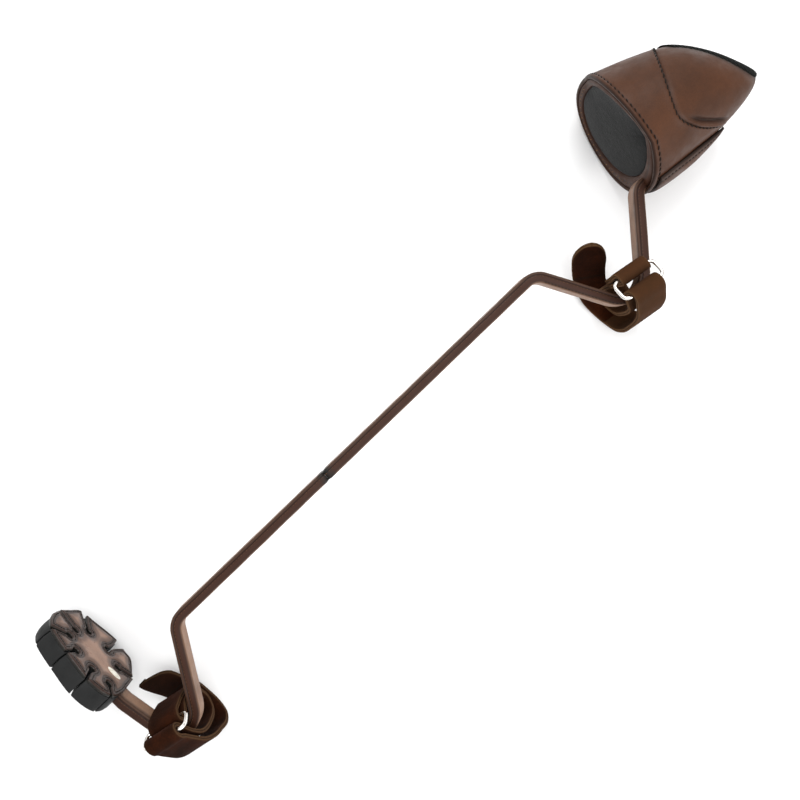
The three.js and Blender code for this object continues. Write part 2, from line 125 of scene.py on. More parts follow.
# ---------- materials ----------
class Shader:
    """A node material, with short names for the nodes that are used again and again."""

    def __init__(self, name):
        self.material = bpy.data.materials.new(name)
        self.material.use_nodes = True
        self.tree = self.material.node_tree
        self.nodes = self.tree.nodes
        self.surface = self.nodes["Principled BSDF"]
        self.where = self.nodes.new("ShaderNodeTexCoord").outputs["Object"]
        self.last_normal = None

    def link(self, output, socket):
        self.tree.links.new(output, socket)

    def feed(self, socket, output):
        self.link(output, self.surface.inputs[socket])

    def set(self, **values):
        for key, value in values.items():
            self.surface.inputs[key].default_value = value

    def noise(self, scale, detail=4, rough=0.55, stretch=(1, 1, 1)):
        node = self.nodes.new("ShaderNodeTexNoise")
        node.inputs["Scale"].default_value = scale
        node.inputs["Detail"].default_value = detail
        node.inputs["Roughness"].default_value = rough
        self.link(self.stretched(stretch), node.inputs["Vector"])
        return node.outputs["Fac"]

    def cells(self, scale):
        node = self.nodes.new("ShaderNodeTexVoronoi")
        node.feature = "DISTANCE_TO_EDGE"
        node.inputs["Scale"].default_value = scale
        self.link(self.where, node.inputs["Vector"])
        return node.outputs["Distance"]

    def stretched(self, stretch):
        if tuple(stretch) == (1, 1, 1):
            return self.where
        node = self.nodes.new("ShaderNodeMapping")
        node.inputs["Scale"].default_value = stretch
        self.link(self.where, node.inputs["Vector"])
        return node.outputs["Vector"]

    def attribute(self, name):
        node = self.nodes.new("ShaderNodeAttribute")
        node.attribute_name = name
        return node.outputs["Fac"]

    def ramp(self, value, *stops):
        node = self.nodes.new("ShaderNodeValToRGB")
        ramp = node.color_ramp
        while len(ramp.elements) < len(stops):
            ramp.elements.new(0.5)
        for element, (position, colour) in zip(ramp.elements, stops):
            element.position = position
            element.color = (*colour, 1) if len(colour) == 3 else colour
        self.link(value, node.inputs["Fac"])
        return node.outputs["Color"]

    def mix(self, share, first, second, mode="MIX"):
        node = self.nodes.new("ShaderNodeMix")
        node.data_type = "RGBA"
        node.blend_type = mode
        inputs = [node.inputs[0], node.inputs[6], node.inputs[7]]
        for socket, value in zip(inputs, (share, first, second)):
            if isinstance(value, bpy.types.NodeSocket):
                self.link(value, socket)
            elif isinstance(value, (int, float)):
                socket.default_value = value
            else:
                socket.default_value = (*value, 1)
        return node.outputs[2]

    def maths(self, operation, first, second):
        node = self.nodes.new("ShaderNodeMath")
        node.operation = operation
        for socket, value in zip(node.inputs, (first, second)):
            if isinstance(value, bpy.types.NodeSocket):
                self.link(value, socket)
            else:
                socket.default_value = value
        return node.outputs[0]

    def bump(self, height, strength, distance):
        node = self.nodes.new("ShaderNodeBump")
        node.inputs["Strength"].default_value = strength
        node.inputs["Distance"].default_value = distance
        self.link(height, node.inputs["Height"])
        if self.last_normal is not None:
            self.link(self.last_normal, node.inputs["Normal"])
        self.last_normal = node.outputs["Normal"]
        self.feed("Normal", self.last_normal)


def rgb(red, green, blue):
    """A colour given as 0 to 255 on a screen, as linear light."""
    def linear(value):
        value /= 255
        return value / 12.92 if value <= 0.04045 else ((value + 0.055) / 1.055) ** 2.4
    return tuple(linear(value) for value in (red, green, blue))


def tinted(colour, factor):
    return tuple(min(1, channel * factor) for channel in colour)


LEATHER_DEPTH = 0.55  # how strongly the pores and creases show


def leather(name, colour, edge, rough=0.5, grain=750, coat=0.12):
    """Leather whose colour drifts, with pores and fine creases. The mesh attribute "edge" brings in the
    colour of a cut or burnished edge, and "dark" the stain of handling and dye, and on the gripper's cover
    painted shade in its creases and slots."""
    shader = Shader(name)
    drift = shader.noise(38, 5, 0.6)
    face = shader.ramp(drift, (0.3, tinted(colour, 0.72)), (0.52, colour), (0.75, tinted(colour, 1.22)))
    speck = shader.noise(grain * 1.7, 3, 0.7)
    fine = shader.ramp(speck, (0.35, (0.82, 0.8, 0.78)), (0.62, (1.08, 1.08, 1.08)))
    face = shader.mix(0.8, face, fine, "MULTIPLY")
    face = shader.mix(shader.attribute("edge"), face, edge)
    # "dark" pulls the colour towards near black: real stains of handling and dye, and on the gripper's cover
    # painted shade in the creases and slots.
    stain = shader.maths("MULTIPLY", shader.attribute("dark"), shader.ramp(
        shader.noise(170, 4), (0.25, (0.7, 0.7, 0.7)), (0.6, (1, 1, 1))))
    face = shader.mix(stain, face, rgb(24, 24, 20))
    shader.feed("Base Color", face)
    gloss = shader.ramp(shader.noise(110, 4), (0.3, (rough - 0.1,) * 3), (0.7, (rough + 0.12,) * 3))
    shader.feed("Roughness", gloss)
    shader.set(**{"Coat Weight": coat, "Coat Roughness": 0.35, "Specular IOR Level": 0.22})
    shader.bump(shader.noise(grain * 0.28, 4), 0.35 * LEATHER_DEPTH, 0.0006)
    shader.bump(shader.cells(grain), 0.4 * LEATHER_DEPTH, 0.00012)
    shader.bump(speck, 0.5 * LEATHER_DEPTH, 0.00008)
    return shader.material


def suede(name, colour, edge):
    """The napped flesh side of leather."""
    shader = Shader(name)
    drift = shader.noise(60, 6, 0.65)
    face = shader.ramp(drift, (0.3, tinted(colour, 0.5)), (0.5, colour), (0.78, tinted(colour, 2.1)))
    fibre = shader.noise(1600, 4, 0.8, (1, 0.35, 1))
    nap = shader.ramp(fibre, (0.35, (0.6, 0.58, 0.56)), (0.65, (1.25, 1.25, 1.25)))
    face = shader.mix(0.85, face, nap, "MULTIPLY")
    face = shader.mix(shader.attribute("edge"), face, edge)
    face = shader.mix(shader.attribute("dark"), face, rgb(22, 17, 12))
    shader.feed("Base Color", face)
    shader.set(**{"Roughness": 0.95, "Specular IOR Level": 0.06})
    shader.bump(fibre, 0.8, 0.00025)
    shader.bump(drift, 0.5, 0.0006)
    return shader.material


def foam_material():
    shader = Shader("foam")
    drift = shader.noise(45, 4)
    face = shader.ramp(drift, (0.3, rgb(17, 18, 18)), (0.7, rgb(25, 26, 26)))
    pores = shader.cells(900)
    pits = shader.ramp(pores, (0.0, (0.45, 0.45, 0.45)), (0.25, (1, 1, 1)))
    shader.feed("Base Color", shader.mix(0.7, face, pits, "MULTIPLY"))
    shader.set(**{"Roughness": 0.95, "Specular IOR Level": 0.15, "Sheen Weight": 0.1})
    shader.bump(pores, 0.6, 0.0004)
    shader.bump(shader.noise(260, 3), 0.4, 0.0008)
    return shader.material


def rubber_material():
    shader = Shader("rubber")
    drift = shader.noise(55, 5)
    face = shader.ramp(drift, (0.3, rgb(12, 13, 13)), (0.72, rgb(20, 21, 21)))
    shader.feed("Base Color", face)
    gloss = shader.ramp(shader.noise(140, 4), (0.3, (0.55,) * 3), (0.7, (0.8,) * 3))
    shader.feed("Roughness", gloss)
    shader.set(**{"Specular IOR Level": 0.35})
    shader.bump(shader.noise(1400, 4), 0.35, 0.00015)
    shader.bump(shader.noise(180, 3, 0.5, (0.25, 1, 1)), 0.3, 0.0004)
    return shader.material


def metal(name, colour, rough):
    shader = Shader(name)
    drift = shader.noise(150, 4)
    face = shader.ramp(drift, (0.3, tinted(colour, 0.82)), (0.7, colour))
    shader.feed("Base Color", face)
    wear = shader.noise(900, 5, 0.6, (1, 0.15, 1))
    gloss = shader.ramp(wear, (0.35, (rough,) * 3), (0.75, (rough + 0.16,) * 3))
    shader.feed("Roughness", gloss)
    shader.set(**{"Metallic": 1.0})
    shader.bump(wear, 0.25, 0.00005)
    return shader.material


def thread_material(name, colour):
    shader = Shader(name)
    twist = shader.noise(2600, 2, 0.5, (1, 0.4, 1))
    face = shader.ramp(twist, (0.35, tinted(colour, 0.55)), (0.65, tinted(colour, 1.5)))
    shader.feed("Base Color", face)
    shader.set(**{"Roughness": 0.7, "Specular IOR Level": 0.15})
    shader.bump(twist, 0.6, 0.0002)
    return shader.material


def badge_material():
    shader = Shader("badge")
    drift = shader.noise(400, 4)
    face = shader.ramp(drift, (0.3, rgb(196, 192, 176)), (0.7, rgb(226, 223, 212)))
    shader.feed("Base Color", face)
    shader.set(**{"Roughness": 0.35, "Coat Weight": 0.3, "Coat Roughness": 0.2})
    shader.bump(drift, 0.15, 0.0001)
    return shader.material


LOOK = {
    "hood": leather("hood_leather", rgb(69, 39, 20), rgb(34, 17, 8), rough=0.55, coat=0.03),
    # The bar's light base colour is painted sheen: its flat faces are coloured light for the sheen they
    # catch. The dark edge colour is the burnished top face.
    "bar": leather("bar_leather", rgb(130, 99, 78), rgb(52, 25, 11), rough=0.5, grain=900, coat=0.06),
    "rim": leather("rim_leather", rgb(66, 36, 19), rgb(38, 20, 10), rough=0.6, coat=0.03),
    "strap": suede("strap_leather", rgb(43, 17, 5), rgb(82, 58, 38)),
    "grip": leather("gripper_leather", rgb(136, 105, 87), rgb(48, 27, 18), rough=0.34, coat=0.2),
    "foam": foam_material(),
    "rubber": rubber_material(),
    "steel": metal("spring_steel", (0.42, 0.43, 0.45), 0.3),
    "nickel": metal("nickel", (0.86, 0.83, 0.79), 0.12),
    "thread": thread_material("thread", rgb(26, 19, 14)),
    "bar_thread": thread_material("bar_thread", rgb(78, 55, 38)),
    "pale_thread": thread_material("pale_thread", rgb(140, 105, 66)),
    "lace": thread_material("lace", rgb(10, 12, 10)),
    "badge": badge_material(),
}


# ---------- mesh helpers ----------
def in_scene(name, data):
    """An object of this name around the data, put in the scene."""
    thing = bpy.data.objects.new(name, data)
    bpy.context.scene.collection.objects.link(thing)
    return thing


def add_layers(mesh, attributes):
    """The numbers at each point that the leathers read."""
    for key, values in attributes.items():
        layer = mesh.attributes.new(key, "FLOAT", "POINT")
        layer.data.foreach_set("value", np.asarray(values, np.float32))


def face_out(mesh):
    made = bmesh.new()
    made.from_mesh(mesh)
    bmesh.ops.recalc_face_normals(made, faces=made.faces)
    made.to_mesh(mesh)
    made.free()


def dressed(name, mesh, look):
    """A smooth object in the scene with its material."""
    mesh.materials.append(LOOK[look])
    thing = in_scene(name, mesh)
    mesh.shade_smooth()
    return thing


def piece(name, vertices, faces, look, body="frame", attributes=None, ride=True):
    """A mesh object from millimetre points, with its material and body."""
    mesh = bpy.data.meshes.new(name)
    mesh.from_pydata([tuple(v) for v in place(vertices)], [], [tuple(map(int, f)) for f in faces])
    add_layers(mesh, attributes or {})
    face_out(mesh)
    thing = dressed(name, mesh, look)
    if ride:
        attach(thing, body)
    return thing


def grid_faces(rows, columns, close_rows=False):
    """Quads between rings of points. The last ring may join up with the first."""
    faces = []
    for i in range(rows if close_rows else rows - 1):
        for j in range(columns):
            a, b = i * columns + j, i * columns + (j + 1) % columns
            down = (i + 1) % rows
            c, d = down * columns + (j + 1) % columns, down * columns + j
            faces.append((a, b, c, d))
    return faces


def capped(rows, columns):
    """Faces of a tube of rings with a flat face at each end."""
    faces = grid_faces(rows, columns)
    faces.append(tuple(range(columns)))
    faces.append(tuple((rows - 1) * columns + j for j in reversed(range(columns))))
    return faces


def lofted(name, rows, look, closed=False, body="frame", ride=True, **layers):
    """A piece from rings of points. Its ends are flat faces, or meet each other if it is closed."""
    count, sides = len(rows), len(rows[0])
    faces = grid_faces(count, sides, close_rows=True) if closed else capped(count, sides)
    joined = {key: np.concatenate(values) for key, values in layers.items()}
    return piece(name, np.concatenate(rows), faces, look, body, joined, ride)


def unit(vector):
    vector = np.asarray(vector, float)
    return vector / (np.linalg.norm(vector, axis=-1, keepdims=True) + 1e-12)


def thread_run(name, runs, look, radius=0.42, sides=6):
    """Many separate stitches in one piece. Each run is a list of points that a short thread follows."""
    vertices, faces = [], []
    for run in runs:
        run = np.asarray(run, float)
        along = unit(np.gradient(run, axis=0))
        helper = np.array([0.3, 0.2, 0.93])
        first = len(vertices)
        for k, (point, direction) in enumerate(zip(run, along)):
            a = unit(np.cross(direction, helper))
            b = np.cross(direction, a)
            swell = radius * (0.55 if k in (0, len(run) - 1) else 1)
            for j in range(sides):
                angle = 2 * math.pi * j / sides
                vertices.append(point + swell * (math.cos(angle) * a + math.sin(angle) * b))
        faces += [tuple(first + v for v in face) for face in capped(len(run), sides)]
    return piece(name, vertices, faces, look)


def stitch(start, end, normal, rise=0.5, sink=0.5, steps=5):
    """A thread that comes out of the leather at start and goes back in at end."""
    start, end, normal = (np.asarray(v, float) for v in (start, end, normal))
    points = []
    for k in range(steps):
        share = k / (steps - 1)
        lift = rise * math.sin(math.pi * share) ** 0.6 - sink * (1 - math.sin(math.pi * share))
        points.append(start + (end - start) * share + normal * lift)
    return points


# ---------- curves ----------
def distances(path):
    """How far along the path each of its points lies."""
    return np.concatenate([[0], np.cumsum(np.linalg.norm(np.diff(path, axis=0), axis=1))])


def point_along(where, far, path):
    """The path's point at a distance along it."""
    return np.array([np.interp(where, far, column) for column in path.T])


def turned(x, y, angle):
    c, s = math.cos(angle), math.sin(angle)
    return c * x - s * y, s * x + c * y


def spline(points, t, centripetal=True):
    """A smooth line through the points, at t from 0 to 1. Each span takes an equal share of t."""
    points = np.asarray(points, float)
    first = 2 * points[0] - points[1] if centripetal else points[0]
    last = 2 * points[-1] - points[-2] if centripetal else points[-1]
    padded = np.vstack([first, points, last])
    p = np.clip(np.asarray(t, float), 0, 1) * (len(points) - 1)
    k = np.minimum(p.astype(int), len(points) - 2)
    w = (p - k)[..., None]
    p0, p1, p2, p3 = (padded[k + i] for i in range(4))
    if centripetal:
        d0, d1, d2 = (np.maximum(np.linalg.norm(b - a, axis=-1, keepdims=True) ** 0.5, 1e-4)
                      for a, b in ((p0, p1), (p1, p2), (p2, p3)))
    else:
        d0 = d1 = d2 = 1.0
    m1 = ((p1 - p0) / d0 - (p2 - p0) / (d0 + d1) + (p2 - p1) / d1) * d1
    m2 = ((p2 - p1) / d1 - (p3 - p1) / (d1 + d2) + (p3 - p2) / d2) * d1
    return (p1 + m1 * w + (-3 * p1 + 3 * p2 - 2 * m1 - m2) * w ** 2
            + (2 * p1 - 2 * p2 + m1 + m2) * w ** 3)


def smoothstep(value, low, high):
    x = np.clip((value - low) / (high - low), 0, 1)
    return x * x * (3 - 2 * x)


def ripple(points, scale, seed=0.0):
    """A smooth unevenness of about -1 to 1 that depends only on place, for hand-worked surfaces."""
    p = np.asarray(points, float) / scale + seed
    x, y, z = p[..., 0], p[..., 1], p[..., 2]
    return (np.sin(1.7 * x + 0.9 * z + 1.3 * np.sin(0.8 * y + seed))
            + np.sin(1.3 * y - 1.1 * z + 1.7 * np.sin(0.7 * z + 2 * seed))
            + np.sin(2.1 * z + 0.6 * x + 1.1 * np.sin(0.9 * x))) / 3


# ---------- bar ----------
GRIP_FACE = np.array([-214.5, -10.0])
GRIP_TILT = math.radians(1)
COVER_T = 2.4
LEATHER_GAP = 0.3
TANG_X = -COVER_T - LEATHER_GAP - WRAP_T / 2 - 0.2


def grip_point(x, v, z=0.0):
    """A point of the gripper, x out of its face, v towards the front, to the bar's coordinates."""
    right, front = turned(x, v, -GRIP_TILT)
    return np.array([GRIP_FACE[0] + right, GRIP_FACE[1] + front, z])


TANG_BARE = 22.0  # bare steel beyond the leather at each end
SPLICE_X = -26.0  # where the two lengths of leather meet
BAR_CORNERS = [
    (grip_point(TANG_X, 42)[:2], 0), (grip_point(TANG_X, -5)[:2], 12), ((-210.6, -82), 14),
    ((-160.5, 0), 12), ((160.5, 0), 12), ((198.5, -67.5), 17), ((248, -6.2), 9), ((304, -6.2), 0),
]


BAR_STEP = 1.6


def bar_line():
    """The bar's middle, at even steps: points, directions and distance along it."""
    dense = []
    for i, (at, radius) in enumerate(BAR_CORNERS):
        at = np.array(at, float)
        if i in (0, len(BAR_CORNERS) - 1):
            dense.append(at)
            continue
        before, after = (np.array(BAR_CORNERS[j][0], float) for j in (i - 1, i + 1))
        into, out = unit(at - before), unit(after - at)
        turn = math.atan2(into[0] * out[1] - into[1] * out[0], float(into @ out))
        start = at - into * radius * math.tan(abs(turn) / 2)
        normal = np.array([-into[1], into[0]]) * np.sign(turn)
        centre = start + normal * radius
        for k in range(17):
            angle = turn * k / 16
            c, s = math.cos(angle), math.sin(angle)
            dense.append(centre + np.array([[c, -s], [s, c]]) @ (start - centre))
    dense = np.array(dense)
    far = distances(dense)
    length = far[-1]
    count = int((length - 2 * TANG_BARE) / BAR_STEP)
    along = np.linspace(TANG_BARE, length - TANG_BARE, count)
    at = point_along(along, far, dense).T.copy()
    cut = int(np.argmax((at[:, 0] > SPLICE_X) & (np.abs(at[:, 1]) < 1)))
    at[cut - 1, 0], at[cut, 0] = SPLICE_X - 0.16, SPLICE_X + 0.16
    soft = np.gradient(at, axis=0)
    kernel = np.ones(3) / 3
    soft = np.stack([np.convolve(np.pad(soft[:, k], 1, "edge"), kernel, "valid") for k in (0, 1)], axis=1)
    return at, unit(soft), along, cut


# The bar's section: n across its thickness, z up. Leather is folded round the steel and its two edges
# meet along the upper edge face, where the seam lies near the border on the n side.
SEAM_N = 1.55


def bar_section():
    """Points round the section, with how much each is burnished edge and how much it is dyed dark."""
    half_t, half_w = WRAP_T / 2, WRAP_W / 2
    rows = []

    def corner(n, z, radius, start, burnt, black, fade=0.0):
        for k in range(5):
            angle = start + math.pi / 2 * k / 4
            rows.append((n + radius * math.cos(angle), z + radius * math.sin(angle),
                         burnt * (1 - fade * k / 4), black * (1 - fade * k / 4)))

    corner(half_t - 1.0, half_w - 1.0, 1.0, 0, 0.8, 0.25)
    for n, drop, black in ((SEAM_N + 0.5, 0, 0.2), (SEAM_N + 0.16, 0.1, 0.35), (SEAM_N, 0.5, 0.8),
                           (SEAM_N - 0.16, 0.1, 0.3), (SEAM_N - 0.5, -0.1, 0.05),
                           (0.2, -0.12, 0), (-1.0, -0.06, 0)):
        rows.append((n, half_w - drop, 1, black))
    corner(-half_t + 1.2, half_w - 1.2, 1.2, math.pi / 2, 1, 0.35, fade=1)
    # The flat faces take the bar's light base colour, which is painted sheen.
    rows += [(-half_t, z, 0, 0) for z in (3.4, 0, -3.4)]
    corner(-half_t + 1.9, -half_w + 1.9, 1.9, math.pi, 0.2, 0)
    rows.append((0, -half_w, 0.6, 0))
    corner(half_t - 1.9, -half_w + 1.9, 1.9, 1.5 * math.pi, 0.3, 0)
    rows += [(half_t, z, 0, 0) for z in (-3.4, 0, 3.4)]
    rows = np.array(rows)
    return rows[:, :2], rows[:, 2], rows[:, 3]


def make_bar():
    at, way, along, splice = bar_line()
    section, edge, dark = bar_section()
    across = np.stack([-way[:, 1], way[:, 0]], axis=1)
    for name, keep in (("hood", 1), ("gripper", -1)):
        rows, edges, darks = [], [], []
        first, last = (splice, len(at) - 1) if keep > 0 else (0, splice - 1)
        for i in range(first, last + 1):
            to_cut = abs(at[i, 0] - SPLICE_X) if abs(at[i, 1]) < 1 else 99
            shrink = 1 - 0.1 * (to_cut < 0.4)
            ring = np.array([[*(at[i] + across[i] * n * shrink), z * (1 + (shrink - 1) * 0.5)]
                             for n, z in section])
            ring[:, 2] += 0.09 * ripple(ring, 9.0, 1.0)
            ring[:, :2] += np.outer(0.09 * ripple(ring, 7.0, 4.0), across[i])
            rows.append(ring)
            edges.append(np.clip(edge + 0.9 * max(0, 1 - to_cut / 5), 0, 1))
            smear = max(0, 1 - abs(at[i, 0] - SPLICE_X - 1) / 6.5) if to_cut < 9 else 0
            darks.append(np.clip(dark + 0.95 * smear ** 0.7, 0, 1))
        made = lofted(f"bar_{name}_leather", rows, "bar", edge=edges, dark=darks)
        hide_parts(f"bar_wrap_{name}_half")
    make_bar_stitches(at, across, along)


def make_bar_stitches(at, across, along):
    """Stitches beside the seam, and a second row along the border of the hood end's first leg."""
    pitch, long = 2.3, 1.6
    upward = np.array([0, 0, 1.0])

    def row(start, stop, n):
        runs = []
        for k in range(int((stop - start) / pitch)):
            first = start + k * pitch + RANDOM.uniform(-0.12, 0.12)
            ends = []
            for where in (first, first + long):
                xy = [np.interp(where, along, at[:, j] + across[:, j] * n) for j in (0, 1)]
                ends.append(np.array([*xy, WRAP_W / 2 + 0.1]))
            runs.append(stitch(ends[0], ends[1], upward, rise=0.12, sink=0.35))
        return runs

    thread_run("bar_stitches", row(along[0] + 3, along[-1] - 3, SEAM_N - 0.75), "bar_thread", radius=0.2)
    leg = (at[:, 0] > 164) & (at[:, 0] < 196) & (at[:, 1] < 0)
    reach = along[leg]
    thread_run("bar_leg_stitches", row(reach[0], reach[-1], -WRAP_T / 2 + 1.0), "thread", radius=0.22)


# ---------- hood ----------
HOOD_BOW = [(250, -13), (285, -15), (318, -15.5), (342, -12), (354.6, -6.4)]
HOOD_FRONT = [(275, 69), (299, 60), (319.5, 49.5), (336, 33.5), (347, 12), (355.3, -4.8)]
HOOD_HALF = 45.0
HOOD_ROLL = 0.07
HOOD_THIN = 0.07
HOOD_LEATHER = 2.8
HOOD_LONG = 110.0  # from mouth to tip along the surface, for turning millimetres into t


def hood_point(t, s, sign, bow=0.0, front=0.0, side=0.0):
    """A point of the hood, t from mouth to tip, s from bow side to front. Insets are in millimetres."""
    t, s, sign = np.broadcast_arrays(*(np.asarray(v, float) for v in (t, s, sign)))
    inside = np.clip(t, 0, 1)
    before = (t - inside)[..., None]
    a, b = spline(HOOD_BOW, inside, False), spline(HOOD_FRONT, inside, False)
    a = a + before * (spline(HOOD_BOW, inside * 0 + 0.01, False) - np.array(HOOD_BOW[0])) * 100
    b = b + before * (spline(HOOD_FRONT, inside * 0 + 0.01, False) - np.array(HOOD_FRONT[0])) * 100
    across = unit(b - a)
    a, b = a + across * np.asarray(bow)[..., None], b - across * np.asarray(front)[..., None]
    part = (1 - np.cos(np.pi * s)) / 2
    flat, keel = 0.5, 0.45 + 0.35 * smoothstep(inside, 0.3, 0.75)
    widest = flat / (flat + keel)
    peak = widest ** flat * (1 - widest) ** keel
    thin = np.where(sign < 0, 1 - HOOD_THIN * (1 - s), 1)
    half = HOOD_HALF * (1 - inside ** 2.2) * thin + 0.8 - side
    z = half * part ** flat * (1 - part) ** keel / peak
    p = a + (b - a) * part[..., None]
    return np.stack([p[..., 0], p[..., 1] - HOOD_ROLL * sign * z, sign * z], axis=-1)


HOOD_AROUND = 100


def around():
    """The places round the hood, from the bow side over the low side to the front and back again."""
    s = np.arange(HOOD_AROUND) / HOOD_AROUND
    return (np.concatenate([s, 1 - s]), np.concatenate([-np.ones(HOOD_AROUND), np.ones(HOOD_AROUND)]))


def mouth(s, sign):
    """The mouth's edge reaches out towards the front, most of all on its upper side."""
    upper = np.where(sign > 0, 0.085 * np.sin(np.pi * np.clip((s - 0.38) / 0.62, 0, 1)), 0)
    return -0.042 * smoothstep(s, 0.4, 0.95) - upper


def seam(s):
    """Where the band meets the cap: low on the flanks, higher on the front ridge and the bow side."""
    front = 0.158 + 0.24 * (np.clip(s - 0.45, 0, 1) / 0.55) ** 2
    back = 0.158 + 0.17 * (1 - np.cos(np.pi * np.clip(0.45 - s, 0, 1) / 0.45))
    return np.where(s > 0.45, front, back)


def outward(t, s, sign):
    """The direction out of the hood's surface."""
    step = 0.004
    t, s, sign = np.broadcast_arrays(*(np.asarray(v, float) for v in (t, s, sign)))
    along = hood_point(t + step, s, sign) - hood_point(t - step, s, sign)
    over = hood_point(t, np.clip(s + step, 0, 1), sign) - hood_point(t, np.clip(s - step, 0, 1), sign)
    normal = unit(np.cross(along, over))
    middle = hood_point(t, 0.45 + 0 * s, sign) * np.array([1, 1, 0])
    facing = np.sum(normal * (hood_point(t, s, sign) - middle), axis=-1, keepdims=True)
    return normal * np.where(facing < 0, -1, 1)


def from_ridge(t, s):
    """Millimetres from the front ridge, measured straight back towards the bow side."""
    inside = np.clip(t, 0, 1)
    wide = np.linalg.norm(spline(HOOD_FRONT, inside, False) - spline(HOOD_BOW, inside, False), axis=-1)
    return (1 + np.cos(np.pi * s)) / 2 * wide


def hood_skin(t, s, sign, sink=0.0, seed=0.0):
    """The hood's outside, a little uneven, pushed in by sink millimetres."""
    t = t + 0 * s
    base = hood_point(t, s, sign)
    lump = 0.5 * ripple(base, 17.0, seed) * np.sin(np.pi * np.clip(s, 0, 1)) ** 0.5
    return base - outward(t, s, sign) * (np.asarray(sink) + 0.45 - lump)[..., None]


def bump(distance, width):
    return np.exp(-(distance / width) ** 2)


RIM_STITCH = 4.6  # from the mouth's edge to the row of stitches


def make_hood_band():
    s, sign = around()
    edge_t, top = mouth(s, sign), seam(s) + 0.004
    steps = 34
    out, inside, dark, edge = [], [], [], []
    for i in range(steps + 1):
        share = (i / steps) ** 1.2
        t = edge_t + (top - edge_t) * share
        depth, left = (t - edge_t) * HOOD_LONG, (top - t) * HOOD_LONG
        lip = -0.55 * bump(left, 2.2) - 1.1 * bump(left, 2.0) * smoothstep(s, 0.9, 1.0)
        groove = 0.3 * bump(depth - RIM_STITCH, 0.7) - 0.3 * bump(depth - RIM_STITCH + 1.9, 1.2)
        out.append(hood_skin(t, s, sign, 0.9 * bump(depth, 0.9) + groove + lip + 0.5 * bump(left, 0.4)))
        edge.append(np.clip(0.9 * bump(depth, 1.1) + 0.5 * bump(depth - RIM_STITCH, 0.8)
                            + 0.35 * smoothstep(depth, RIM_STITCH, 0) + 0.8 * bump(left, 0.5), 0, 1))
        dark.append(0.75 * smoothstep(from_ridge(t, s), 3.2, 0.6) * (0.25 + 0.75 * smoothstep(t, 0.1, 0.3))
                    + 0.35 * bump(left, 0.45))
    for i in range(steps + 1):
        share = (i / steps) ** 1.2
        t = edge_t + (top - edge_t) * share
        inner = HOOD_LEATHER + 0.4 - 0.6 * bump((t - edge_t) * HOOD_LONG, 0.9)
        inside.append(hood_point(t, s, sign) - outward(t, s, sign) * inner[..., None])
    rows = out + inside[::-1]
    none = [np.zeros_like(s)] * len(inside)
    made = lofted("hood_band_leather", rows, "hood", closed=True,
                  edge=edge + [v + 0.5 for v in none], dark=dark + none)
    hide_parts("hood_band")


def pucker(t, s):
    """Where the dome was gathered above its seam: a groove, and a swelling between it and the seam."""
    window = smoothstep(t, 0.19, 0.27) * smoothstep(t, 0.5, 0.4)
    distance = (s - 0.357 + 0.837 * (t - 0.23)) * 115
    height = 2.4 * bump(distance, 1.2) - 2.0 * bump(distance + 3.8, 2.3)
    return window * height, window * bump(distance, 1.8)


def lace_line(t):
    """Where the laced ridge runs: near the front at the seam, over the middle at the tip."""
    return 0.87 - 0.36 * smoothstep(t, 0.4, 0.8)


def lace_half(t):
    return 0.06 + 0.28 * (np.asarray(t) - 0.35)


def make_hood_cap():
    s, sign = around()
    low = seam(s) + 0.003
    steps = 54
    out, inside, dark, edge = [], [], [], []
    for i in range(steps + 1):
        t = low + (1 - low) * (i / steps) ** 1.25
        left = (t - low) * HOOD_LONG
        gathered, line = pucker(t, s)
        ridge = np.where(sign > 0, np.abs(s - lace_line(t)) / lace_half(np.maximum(t, 0.3)), 9)
        late = smoothstep(t, 0.33, 0.4)
        welt = -0.6 * bump(ridge, 0.6) * late
        out.append(hood_skin(t, s, sign, 1.1 * bump(left, 1.2) + gathered + welt, 2.0))
        near_ridge = 0.5 * smoothstep(ridge, 1.7, 1.0) * late
        edge.append(np.clip(0.8 * bump(left, 0.6) + 0.9 * line + near_ridge, 0, 1))
        dark.append(np.clip(smoothstep(ridge, 1.1, 0.8) * late + smoothstep(t, 0.91, 0.95)
                            + 0.45 * bump(left, 0.45), 0, 1))
    for i in range(steps + 1):
        t = low + (0.86 - low) * (i / steps) ** 1.25
        inside.append(hood_point(t, s, sign, HOOD_LEATHER, HOOD_LEATHER, HOOD_LEATHER))
    rows = out[::-1] + inside
    none = [np.zeros_like(s)] * len(inside)
    made = lofted("hood_cap_leather", rows, "hood", edge=edge[::-1] + none, dark=dark[::-1] + none)
    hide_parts("hood_cap")


RIM_IN = dict(bow=13.0, front=HOOD_LEATHER + 5.2, side=HOOD_LEATHER + 4.6)
RIM_OUT = dict(bow=HOOD_LEATHER + 0.7, front=HOOD_LEATHER + 0.4, side=HOOD_LEATHER + 0.5)


def rim_inset(share):
    """The insets of a line on the rim, from its outer border to its inner one."""
    return {key: RIM_OUT[key] + (RIM_IN[key] - RIM_OUT[key]) * share for key in RIM_IN}


